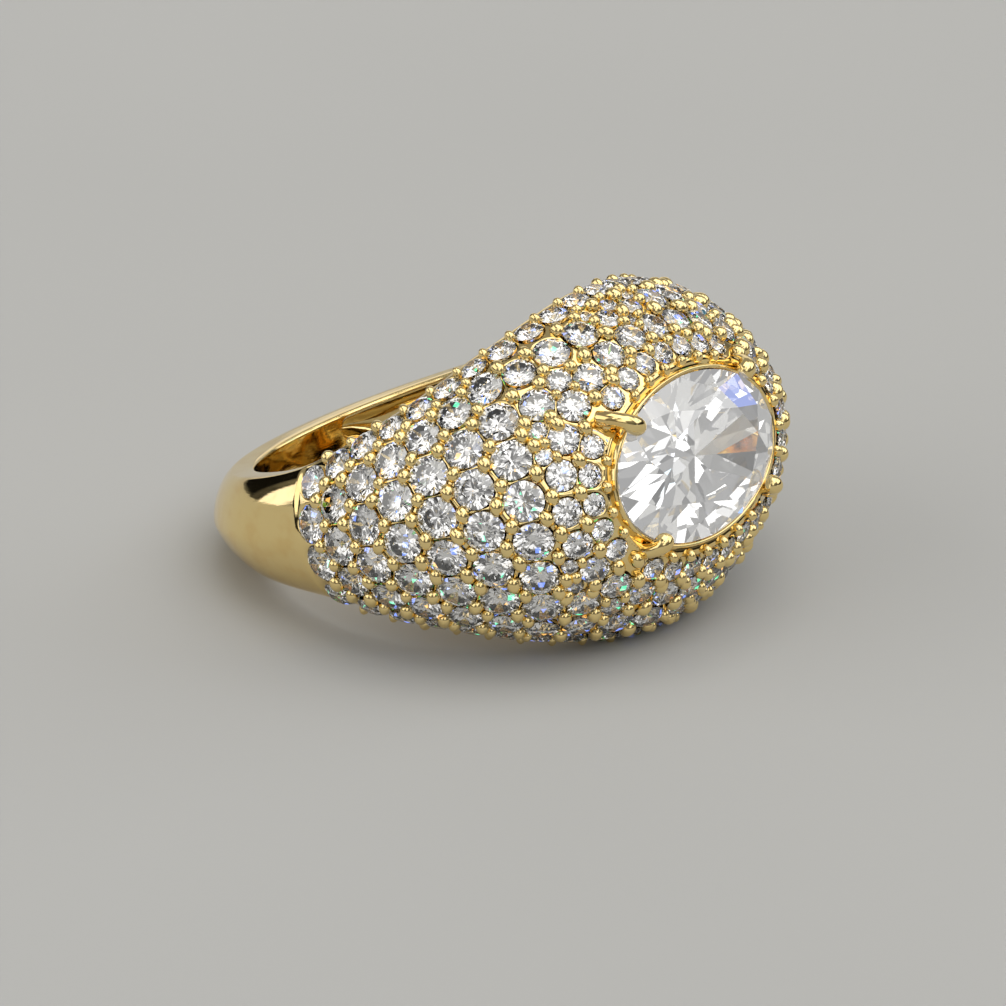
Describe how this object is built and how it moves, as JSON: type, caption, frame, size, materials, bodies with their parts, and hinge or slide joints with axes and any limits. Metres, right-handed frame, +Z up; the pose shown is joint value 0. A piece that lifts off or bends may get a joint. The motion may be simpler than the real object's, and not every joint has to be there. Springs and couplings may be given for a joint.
{
  "type": "dome ring",
  "caption": "Domed gold finger ring that tapers to a half-round shank, paved with small cut stones round one large claw-set oval stone.",
  "frame": {"origin": "middle of the ring's footprint, on the surface that it lies on", "axes": "+Z up from that surface, -Y towards the dome and its oval stone, +X along the band's width across the shoulders"},
  "size_m": [0.0232, 0.0248, 0.0145],
  "materials": {
    "gold": "polished",
    "oval_stone": "polished",
    "small_stones": "polished"
  },
  "bodies": {
    "root": {"ring_body": "gold", "centre_stone": "oval_stone", "halo_stones": "small_stones", "pave_stones": "small_stones"}
  },
  "joints": []
}
